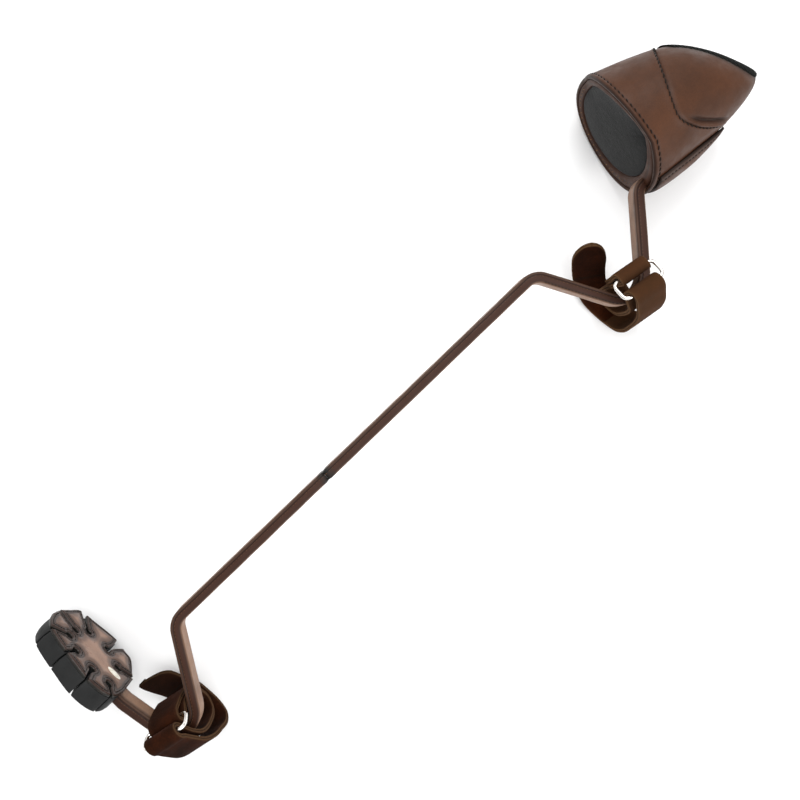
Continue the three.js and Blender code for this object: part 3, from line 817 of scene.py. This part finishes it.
def make_hood_rim():
    """The brown rim inside the mouth: the turned edge of a lining, sewn down round the foam."""
    s, sign = around()
    edge_t = mouth(s, sign)
    rows, edge = [], []
    outline = ((0.09, 0, 1), (0.02, 0, 0.9), (0.006, 0.03, 0.8), (0.0, 0.2, 0.25), (-0.002, 0.4, 0.1),
               (0.001, 0.55, 0.8), (0.0, 0.68, 0.3), (0.002, 0.86, 0.2), (0.008, 0.97, 0.5), (0.03, 1, 0.4),
               (0.09, 1, 1))
    for deep, share, burnt in outline:
        ring = hood_point(edge_t + 0.004 + deep, s, sign, **rim_inset(share))
        rows.append(ring + 0.12 * ripple(ring, 3.0, share)[:, None] * np.array([1, 0.2, 0]))
        edge.append(np.full_like(s, burnt))
    made = lofted("hood_rim_leather", rows, "rim", closed=True, edge=edge)
    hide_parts("hood_rim_liner")
    low = np.linspace(0.12, 1.0, 160)
    path = hood_point(mouth(low, -1.0) + 0.004, low, -1.0, **rim_inset(0.55))
    out_of_mouth = np.array([-0.94, 0.34, 0])
    thread_run("hood_rim_dots", along_path(path, np.tile(out_of_mouth, (len(path), 1)), 4.2, 0.9, rise=0.12),
               "pale_thread", radius=0.24)


def along_path(path, normals, pitch, long, shift=None, rise=0.25):
    """Stitches of one length at an even pitch along a path. The shift leans each one across the path."""
    far = distances(path)
    runs = []
    for k in range(int((far[-1] - long) / pitch)):
        start = k * pitch + RANDOM.uniform(0, 0.12) * pitch
        points, out = [], []
        for where, lean in ((start, -1), (start + long, 1)):
            p = point_along(where, far, path)
            if shift is not None:
                p = p + lean * point_along(where, far, shift)
            points.append(p)
            out.append(point_along(where, far, normals))
        runs.append(stitch(points[0], points[1], unit(out[0] + out[1]), rise=rise, sink=0.4))
    return runs


def make_hood_foam():
    s, sign = around()
    inset = {key: RIM_IN[key] - 0.25 for key in RIM_IN}
    face = hood_point(mouth(s, sign) + 0.024, s, sign, **inset)
    centre = face.mean(axis=0)
    inward = unit(hood_point(0.3, 0.5, 1) - hood_point(0.0, 0.5, 1)) * np.array([1, 1, 0])
    lift = (face - centre) @ inward
    rows = []
    for share in (0.05, 0.12, 0.2, 0.28, 0.36, 0.44, 0.52, 0.6, 0.68, 0.76, 0.83, 0.89, 0.94, 0.98):
        ring = centre + (face - centre) * share
        swell = 0.9 * (1 - share ** 3) + 0.05 * ripple(ring, 6.0, 3.0)
        rows.append(ring - np.outer(swell + share * lift * (1 - share ** 3), inward))
    for deep in (0.012, 0.05, 0.12, 0.25, 0.4):
        rows.append(hood_point(mouth(s, sign) + 0.024 + deep, s, sign, **inset))
    made = lofted("hood_foam_block", rows, "foam")
    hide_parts("hood_foam")


PATCH = dict(start=0.05, end=0.46, reach=0.16, clear=-0.3, bulge=2.6, thick=2.3)


def make_hood_patch():
    """The leather sewn over the bow side of the hood, which bulges over the bar's end."""
    steps, wide = 56, 18
    rows, edges, border = [], [], []
    j = np.linspace(-1, 1, 2 * wide + 1)
    for i in range(steps + 1):
        share = i / steps
        t = PATCH["start"] + (PATCH["end"] - PATCH["start"]) * share
        reach = PATCH["reach"] * (1 - 0.5 * share ** 2)
        s, sign = reach * np.abs(j), np.where(j < 0, -1.0, 1.0)
        rise = PATCH["clear"] + PATCH["bulge"] * math.sin(math.pi * share) * (1 - j ** 2)
        rim = np.maximum(np.abs(j) ** 9, abs(2 * share - 1) ** 18)
        line = 0.35 * bump(np.abs(j) - 0.84, 0.045)
        top = PATCH["thick"] * (1 - 0.4 * rim) - line
        outer = hood_point(t, s, sign, -rise - top, 0, -PATCH["clear"] - top)
        outer += 0.15 * ripple(outer, 6.0, 5.0)[:, None] * outward(t, s, sign)
        inner = hood_point(t, s, sign, -rise, 0, -PATCH["clear"])
        rows.append(np.concatenate([outer, inner[::-1]]))
        edges.append(np.concatenate([np.clip(0.9 * rim + 0.5 * line / 0.35, 0, 1), np.ones_like(j)]))
        border.append(outer[[3, -4]])
    made = lofted("hood_patch_leather", rows, "hood", edge=edges, dark=[0.5 * row ** 3 for row in edges])
    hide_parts("hood_bar_patch")
    runs = []
    for k, z in ((0, -1.0), (1, 1.0)):
        path = np.array([row[k] for row in border])
        runs += along_path(path, np.tile(unit([0.0, -0.45, z]), (len(path), 1)), 2.9, 2.0)
    thread_run("patch_stitches", runs, "thread", radius=0.32)


# ---------- thread on the hood ----------
def make_hood_stitches():
    rim, joined = [], []
    for sign in (-1.0, 1.0):
        s = np.linspace(0.06, 0.99, 240)
        t = mouth(s, sign) + RIM_STITCH / HOOD_LONG
        path, out = hood_skin(t, s, sign, 0.25), outward(t, s, sign)
        lean = unit(hood_point(t + 0.01, s, sign) - hood_point(t, s, sign)) * 0.6
        rim += along_path(path, out, 3.9, 3.1, lean, rise=0.4)
        s = np.linspace(0.17, 0.99, 240)
        path, out = hood_skin(seam(s), s, sign, 0.1), outward(seam(s), s, sign)
        lean = unit(hood_point(seam(s) + 0.01, s, sign) - hood_point(seam(s), s, sign)) * 0.85
        joined += along_path(path, out, 3.9, 3.3, lean, rise=0.6)
    thread_run("hood_rim_stitches", rim, "thread", radius=0.42)
    thread_run("hood_seam_stitches", joined, "thread", radius=0.44)


def make_ridge_lace():
    """Blackened lace whipped over the ridge, from the seam's peak to the tip."""
    runs = []
    count = 30
    across = np.linspace(-1, 1, 9)
    lift = np.array([-0.9, 0.3, 0.8, 0.9, 0.9, 0.9, 0.8, 0.3, -0.9])[:, None]
    for k in range(count):
        t = 0.38 + 0.54 * (k + RANDOM.uniform(-0.15, 0.15)) / (count - 1) + 0.018 * across
        s = lace_line(t) - across * 1.05 * lace_half(t)
        runs.append(list(hood_skin(t, s, 1.0) + outward(t, s, 1.0) * lift))
    thread_run("hood_ridge_lace", runs, "lace", radius=0.6, sides=8)


# ---------- straps and rings ----------
STRAP_W = 21.0
STRAP_T = 3.0
ROD_R = 1.2
RING_HALF = 14.6  # half the ring's length across the strap
RING_SQUARE = 0.42  # below 1, the smaller, the squarer the ring
UPPER = dict(
    end="upper", x=201.0, yaw=0.16, ring_shift=-1.3, inner=(39, 28), outer=(51.5, 33.5), twist=0.6,
    tip=(0.22, 2.0, 1.0, 0.0), wrap=(48.0, 55.5), line=0.62, worn=0.4, stain=0.0,
    loop=[(37.4, 6, 0), (37, 15, 0), (35.8, 23, 0), (36, 29.6, 0), (39, 31.3, 0), (42, 29.5, 0),
          (41.8, 22, 0), (41.2, 9, 0), (41.2, -9, 0), (42.4, -21, 0), (46.8, -29.5, 0),
          (53.2, -33.3, 0), (59.2, -31, 0), (62.1, -23, -0.5), (62.6, -12, -1), (61.8, 0, -1.5),
          (59.6, 10, -2), (53.8, 18.5, -2.5)],
    tail=[(48.9, 26, -2.5), (47.9, 31.8, -2.5), (48.9, 36.1, -2.5), (52, 37.3, -2.5),
          (55.1, 34.9, -2.5), (59.2, 28, -2.5), (65.4, 16.5, -2.5), (70, 1.5, -2.5), (72.8, -15, -3),
          (74, -30, -4), (71, -39.5, -5), (63, -43.2, -6)],
    tab=[(52, -43.8, -7), (44, -41.5, -7.5), (34, -34, -7), (25, -22, -5), (17.5, -8, -2.5),
         (11.5, 4, 0.5)],
)
LOWER = dict(
    end="lower", x=-206.0, yaw=0.2, ring_shift=1.6, inner=(42, 18), outer=(46, 33), twist=0.0,
    tip=(0.26, 1.5, 0.0, -1.0), wrap=(42.4, 50.0), line=0.5, worn=0.0, stain=0.3,
    loop=[(35.9, -8, 4.2), (35.9, 1, 4.2), (36.9, 10, 3), (38.4, 17.8, 2.3), (42, 21.8, 2),
          (45.6, 18.6, 2), (43.6, 12.6, 3), (40.4, 7, 4), (39.5, 0, 4.2), (39.8, -9, 4.2),
          (42, -21, 3.5), (46.4, -29.6, 2), (53.2, -33.4, 1), (59.1, -31, 0), (62.5, -23, 0),
          (63.4, -12, 0), (62.9, 0, 0), (60.6, 8.8, 0), (55.7, 16, 0), (49.8, 21.8, 0.3)],
    tail=[(44.6, 26.4, 0.6), (42.4, 30.8, 1), (42.8, 34.9, 1), (45.8, 36.8, 1), (49.2, 35.2, 1),
          (51.6, 30.5, 0.5), (56.8, 23.8, 0), (64.5, 13.9, 0), (69.7, 1.2, 0), (72.6, -14, 0),
          (74, -30, 0), (71, -39.5, 0), (63, -43.2, 0)],
    tab=[(53, -43.8, -0.5), (44, -42.5, -1), (36, -38, -2), (28.5, -32.5, -3), (21.5, -28.2, -4),
         (16.5, -26.3, -4.4)],
)


def strap_section(half):
    """The strap's section: across, through, and how much it is cut edge or the dark line between plies."""
    h = STRAP_T / 2
    step = min(0.5, half * 0.4)
    side = [(half - step, h, 0.1, 0), (half - step * 0.3, h - 0.12, 0.7, 0), (half, h - 0.42, 1, 0),
            (half, 0.3, 0.9, 0), (half - step * 0.7, 0.05, 0, 1), (half - step * 0.1, -0.2, 0.9, 0),
            (half, -h + 0.42, 1, 0), (half - step * 0.3, -h + 0.12, 0.7, 0), (half - step, -h, 0.1, 0)]
    inner = half - step
    under = [(inner * k, -h, 0, 0) for k in (0.75, 0.4, 0, -0.4, -0.75)]
    back = [(-a, -b, e, d) for a, b, e, d in side]
    over = [(-a, h, 0, 0) for a, _, _, _ in under]
    return np.array(side + under + back + over)


def strap_length(name, end, start, stop, rows, tab=False, slim=0.0, dark_tip=0.0):
    points = [(end["x"] + shift, -u, z) for u, z, shift in end["loop"] + end["tail"] + end["tab"]]
    last = len(points) - 1
    share = np.linspace(0, 1, rows)
    if tab:
        share = 1 - (1 - share) ** 1.35
    t = (start + (stop - start) * share) / last
    at = spline(points, t)
    tangent = unit(spline(points, np.clip(t + 5e-4, 0, 1)) - spline(points, np.clip(t - 5e-4, 0, 1)))
    rings, edge, dark = [], [], []
    for k in range(rows):
        turn = end["yaw"] + (end["twist"] * smoothstep(share[k], 0, 0.8) if tab else 0)
        side = np.array([math.cos(turn), -math.sin(turn), 0])
        if tab:
            side = side - tangent[k] * (side @ tangent[k]) * share[k]
        side = unit(side)
        up = unit(np.cross(tangent[k], side))
        half, aside = STRAP_W / 2 - slim, 0
        if tab:
            part, power, flare, skew = end["tip"]
            past = np.clip((share[k] - (1 - part)) / part, 0, 1)
            full = half + flare * share[k]
            half = full * max(0.05 - 0.25 * skew, (1 - past ** power) ** (1 / power))
            aside = skew * (full - half)
        section = strap_section(half)
        height = section[:, 1] - np.sign(section[:, 1]) * slim
        ring = at[k] + np.outer(section[:, 0] + aside, side) + np.outer(height, up)
        ring += np.outer(0.1 * ripple(ring, 6.0, 2.0) * (1 if 2 < k < rows - 3 else 0), up)
        rings.append(ring)
        near_tip = smoothstep(share[k], 0.985, 1.0) if tab else 0
        worn = 0 if tab else end["worn"]
        edge.append(np.clip(section[:, 2] + near_tip + worn, 0, 1))
        line = 0.6 * bump(share[k] - end["line"], 0.012) if tab else 0
        tip_stain = dark_tip * smoothstep(share[k], 0.45, 0.95)
        dark.append(np.clip(section[:, 3] + end["stain"] + line + tip_stain, 0, 1))
    return lofted(name, rings, "strap", ride=False, edge=edge, dark=dark)


def make_strap(end):
    name = end["end"]
    count_loop = len(end["loop"])
    to_tail, to_tab = count_loop - 0.5, count_loop + len(end["tail"]) - 0.5
    last = count_loop + len(end["tail"]) + len(end["tab"]) - 1
    bridge = count_loop - 2.0
    loop = strap_length(f"{name}_strap_round_limb", end, 0, bridge, 150)
    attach(loop, "frame")
    rise = strap_length(f"{name}_strap_to_ring", end, bridge - 0.25, to_tail + 0.5, 40, slim=0.03)
    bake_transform(rise)
    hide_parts(f"{name}_strap_loop")
    tail = strap_length(f"{name}_strap_outside", end, to_tail + 0.3, to_tab - 0.5, 110)
    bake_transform(tail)
    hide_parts(f"{name}_strap_tail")
    tab = strap_length(f"{name}_strap_end", end, to_tab - 0.7, last, 70, tab=True, slim=0.03,
                       dark_tip=0.15 if name == "upper" else 0.35)
    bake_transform(tab)
    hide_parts(f"{name}_strap_tab")
    make_ring(end)


def make_ring(end):
    du, dz = end["outer"][0] - end["inner"][0], end["outer"][1] - end["inner"][1]
    reach, lean = math.hypot(du, dz) / 2, -math.atan2(dz, du)
    angles = np.linspace(0, 2 * math.pi, 121)[:-1]

    def bulge(value):
        return np.sign(value) * np.abs(value) ** RING_SQUARE

    # The superellipse crowds its corners, so it is spaced out evenly again before the wire is drawn.
    dense = np.linspace(0, 2 * math.pi, 4001)
    xy = np.stack([RING_HALF * bulge(np.cos(dense)), reach * bulge(np.sin(dense))], axis=1)
    far = distances(xy)
    even = point_along(angles / (2 * math.pi) * far[-1], far, xy).T
    way = unit(np.roll(even, -1, axis=0) - np.roll(even, 1, axis=0))
    normal = np.stack([way[:, 1], -way[:, 0]], axis=1)
    rings = []
    sides = 14
    for k in range(len(even)):
        spin = np.arange(sides) * 2 * math.pi / sides
        flat = even[k] + np.outer(np.cos(spin) * ROD_R, normal[k])
        local = np.column_stack([flat, np.sin(spin) * ROD_R])
        y, z = turned(local[:, 1], local[:, 2], lean)
        x, y = turned(local[:, 0], y, -end["yaw"])
        rings.append(np.column_stack([x, y, z]))
    centre = np.array([end["x"] + end["ring_shift"], -(end["inner"][0] + end["outer"][0]) / 2,
                       (end["inner"][1] + end["outer"][1]) / 2])
    made = lofted(f"{end['end']}_wire_ring", [ring + centre for ring in rings], "nickel", closed=True,
                  body=f"{end['end']}_ring")
    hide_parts(f"{end['end']}_ring")


# ---------- gripper ----------
GRIP_LOW = -7.5
GRIP_UP = [(0, 13), (2, 22), (6, 28.5), (14, 32.5), (26, 33), (40, 29), (52, 25), (60, 21), (65, 14), (67, 6)]
GRIP_DOWN = [(0, 9), (2.5, 13), (5.5, 20), (10, 26.5), (16, 28), (24, 31), (34, 30), (46, 26.5), (57, 23.5),
             (62, 13), (66, 4)]
# Each seat's v, z from the gripper's middle and angle, then how far its slit opens at the rim.
CLEFTS = [(50, 11.5, 38, 0.3), (40, 19.5, 66, 0.3), (25, 21.5, 98, 0.3), (10.5, 19.5, 130, 0.5),
          (50, 1, -14, 1), (43.5, -10.5, -52, 4), (26, -12.5, -103, 8), (13, -4.2, -156, 0.8)]
SHAFT_R = 3.4
COVER_SEAT = 2.3  # the leather closes in over the rubber's seats
NECK = 0.7
RUBBER_T = 13.0
RUBBER_FRONT = -COVER_T - LEATHER_GAP


def prism(outline, back, front):
    """A closed plate between two depths, from an outline in the gripper's (v, z)."""
    count = len(outline)
    points = [(x, v, z) for x in (back, front) for v, z in outline]
    faces = [tuple(range(count)), tuple(reversed(range(count, 2 * count)))]
    faces += [(j, (j + 1) % count, (j + 1) % count + count, j + count) for j in range(count)]
    mesh = bpy.data.meshes.new("plate")
    mesh.from_pydata([tuple(p) for p in points], [], faces)
    face_out(mesh)
    return in_scene("plate", mesh)


def cleft_outline(v, z, angle, opening, seat, ease):
    radius, neck = seat + ease, NECK + ease
    start = math.asin(neck / radius)
    arc = np.linspace(start, 2 * math.pi - start, 30)
    local = [(radius * math.cos(a), radius * math.sin(a)) for a in arc]
    local += [(9, -neck), (40, -neck - opening), (40, neck + opening), (9, neck)]
    spun = (turned(x, y, math.radians(angle)) for x, y in local)
    return [(v + x, z + y) for x, y in spun]


def grip_outline(grow):
    upper, lower = (spline(side, np.linspace(0, 1, 46)) * (1 + grow) for side in (GRIP_UP, GRIP_DOWN))
    return [(v, GRIP_LOW + z) for v, z in upper] + [(v, GRIP_LOW - z) for v, z in lower[::-1]]


def evaluated(thing):
    """The mesh that an object's modifiers make, as a bmesh."""
    bpy.context.view_layer.update()
    shaped = thing.evaluated_get(bpy.context.evaluated_depsgraph_get())
    made = bmesh.new()
    made.from_mesh(shaped.to_mesh())
    shaped.to_mesh_clear()
    return made


def discard(*things):
    for thing in things:
        mesh = thing.data
        bpy.data.objects.remove(thing)
        bpy.data.meshes.remove(mesh)


def slotted_plate(back, front, grow, seat, ease, cell, extra=()):
    """The slotted plate as a fine even mesh in the gripper's own millimetres, and its outline's segments."""
    plate = prism(grip_outline(grow), back, front)
    tools = [prism(cleft_outline(v, GRIP_LOW + z, angle, opening, seat, ease), back - 5, front + 5)
             for v, z, angle, opening in CLEFTS]
    tools += list(extra)
    for tool in tools:
        cut = plate.modifiers.new("cut", "BOOLEAN")
        cut.operation = "DIFFERENCE"
        cut.solver = "EXACT"
        cut.object = tool
    flat = evaluated(plate)
    bmesh.ops.remove_doubles(flat, verts=flat.verts, dist=0.002)
    bmesh.ops.dissolve_limit(flat, angle_limit=math.radians(1.0), verts=flat.verts, edges=flat.edges)
    face = max(flat.faces, key=lambda f: f.calc_area() * f.normal.x)
    loop = np.array([tuple(v.co)[1:] for v in face.verts])
    flat.free()
    fine = plate.modifiers.new("fine", "REMESH")
    fine.mode = "VOXEL"
    fine.voxel_size = cell
    made = evaluated(plate)
    discard(plate, *tools)
    for _ in range(2):
        bmesh.ops.smooth_vert(made, verts=made.verts, factor=0.5,
                              use_axis_x=True, use_axis_y=True, use_axis_z=True)
    return made, loop


def from_outline(points, loop):
    """How far each (v, z) point is from the closed outline."""
    nearest = np.full(len(points), 1e9)
    for a, b in zip(loop, np.roll(loop, -1, axis=0)):
        way = b - a
        long = max(float(way @ way), 1e-12)
        share = np.clip(((points - a) @ way) / long, 0, 1)
        nearest = np.minimum(nearest, np.linalg.norm(points - a - share[:, None] * way, axis=1))
    return nearest


def grip_piece(name, made, shape, look, attributes):
    """A piece from a bmesh in the gripper's own millimetres, with its points moved to shape."""
    for vertex, co in zip(made.verts, shape):
        vertex.co = Vector(place(grip_point(*co)))
    mesh = bpy.data.meshes.new(name)
    bmesh.ops.recalc_face_normals(made, faces=made.faces)
    made.to_mesh(mesh)
    made.free()
    add_layers(mesh, attributes)
    thing = dressed(name, mesh, look)
    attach(thing, "frame")
    return thing


def make_rubber():
    wide = WRAP_T + 2 * LEATHER_GAP + 0.2
    half = WRAP_W / 2 + LEATHER_GAP
    channel = prism([(-16, -half), (44, -half), (44, half), (-16, half)],
                    RUBBER_FRONT - wide, RUBBER_FRONT + 3)
    made, _ = slotted_plate(RUBBER_FRONT - RUBBER_T, RUBBER_FRONT, 0, SHAFT_R, -0.2, 0.4, [channel])
    shape = np.array([tuple(v.co) for v in made.verts])
    deep = (shape[:, 0] - RUBBER_FRONT) / RUBBER_T
    shape[:, 1:] *= (1 - 0.012 * (2 * deep + 1)[:, None] ** 2)
    shape += 0.12 * ripple(shape, 8.0, 2.0)[:, None]
    thing = grip_piece("gripper_rubber_block", made, shape, "rubber", {})
    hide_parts("gripper_rubber")


def make_cover():
    """The leather on the gripper's face, with creased and stitched lines round every finger, and painted
    shade in its creases and slots.
    """
    made, loop = slotted_plate(-COVER_T, 0, 0.01, COVER_SEAT, 0.4, 0.4)
    shape = np.array([tuple(v.co) for v in made.verts])
    d = from_outline(shape[:, 1:], loop)
    face = smoothstep(shape[:, 0], -1.2, -0.4)
    wander = d + 0.35 * ripple(shape, 4.0, 5.0)
    crease = bump(wander - 1.8, 0.42)
    second = bump(wander - 3.3, 0.34)
    relief = -0.6 * bump(d, 0.6) - 0.6 * crease - 0.35 * second + 0.35 * smoothstep(d, 3, 7) + 0.15 * ripple(
        shape, 5.0, 1.0)
    shape[:, 0] += face * relief
    # The creases and the rims and walls of the slots are darkened here: painted shade in these grooves and
    # slots, over the cut edges' own dark colour.
    burnt = np.clip(bump(d, 0.9) + crease + 0.8 * second + 0.7 * smoothstep(wander, 9.0, 5.0)
                    + 0.35 * smoothstep(wander, 3.2, 2.6), 0, 1)
    stain = np.clip(0.9 * crease + 0.55 * second + 0.6 * bump(d, 0.4) + 0.6 * (1 - face), 0, 1)
    thing = grip_piece("gripper_cover", made, shape, "grip",
                       {"edge": np.where(face > 0.5, burnt, 1.0), "dark": stain})
    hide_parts("gripper_leather_cover")
    inset, pitch, half = 1.95, 2.2, 0.65
    closed = np.vstack([loop, loop[:1]])
    far = distances(closed)
    runs = []
    for where in np.arange(0, far[-1], pitch):
        p, q = (point_along(min(max(w, 0), far[-1]), far, closed) for w in (where - 0.4, where + 0.4))
        way = unit(q - p)
        centre = (p + q) / 2 + inset * np.array([-way[1], way[0]])
        ends = np.array([centre - way * half, centre + way * half])
        if from_outline(ends, loop).min() > inset - 0.15:
            low, high = (grip_point(0.12, *end) for end in ends)
            runs.append(stitch(low, high, (1, 0, 0), rise=0.1, sink=0.3, steps=4))
    thread_run("gripper_stitches", runs, "thread", radius=0.17, sides=5)


def dome(name, centre, axis, radii, height, look):
    """A low rounded plate that stands on its flat side, long across and narrow along Z."""
    axis = unit(axis)
    a = unit(np.cross(axis, (0.0, 0.0, 1.0)))
    b = np.cross(axis, a)
    profile = [(1.0, 0.0), (1.0, 0.35), (0.96, 0.5), (0.88, 0.52), (0.84, 0.42), (0.8, 0.46)]
    profile += [(0.8 * math.cos(x), 0.46 + 0.54 * math.sin(x)) for x in np.linspace(0.2, 1.5, 7)]
    spin = np.arange(36) * 2 * math.pi / 36
    rows = [np.asarray(centre) + np.outer(np.cos(spin) * radii[0] * scale, a)
            + np.outer(np.sin(spin) * radii[1] * scale, b) + axis * height * lift for scale, lift in profile]
    return lofted(name, rows, look)


def make_badge():
    out = (math.cos(GRIP_TILT), -math.sin(GRIP_TILT), 0)
    badge = dome("gripper_blank_badge", grip_point(0.25, 12.5, -1), out, (5.6, 2.3), 0.9, "badge")
    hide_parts("gripper_badge")


def make_gripper():
    make_rubber()
    make_cover()
    make_badge()


# ---------- what is left of the frame ----------
def dress_the_rest():
    nodes = frame["nodes"]
    for name, look in (("spring_steel_bar", "steel"), ("gripper_rivet_1", "nickel"),
                       ("gripper_rivet_2", "nickel")):
        node = nodes[name]
        node.data.materials.clear()
        node.data.materials.append(LOOK[look])
        node.data.shade_smooth()
        node.data.set_sharp_from_angle(angle=math.radians(40))


make_camera()
make_studio()
make_bar()
make_hood_band()
make_hood_cap()
make_hood_rim()
make_hood_foam()
make_hood_patch()
make_hood_stitches()
make_ridge_lace()
make_strap(UPPER)
make_strap(LOWER)
make_gripper()
dress_the_rest()
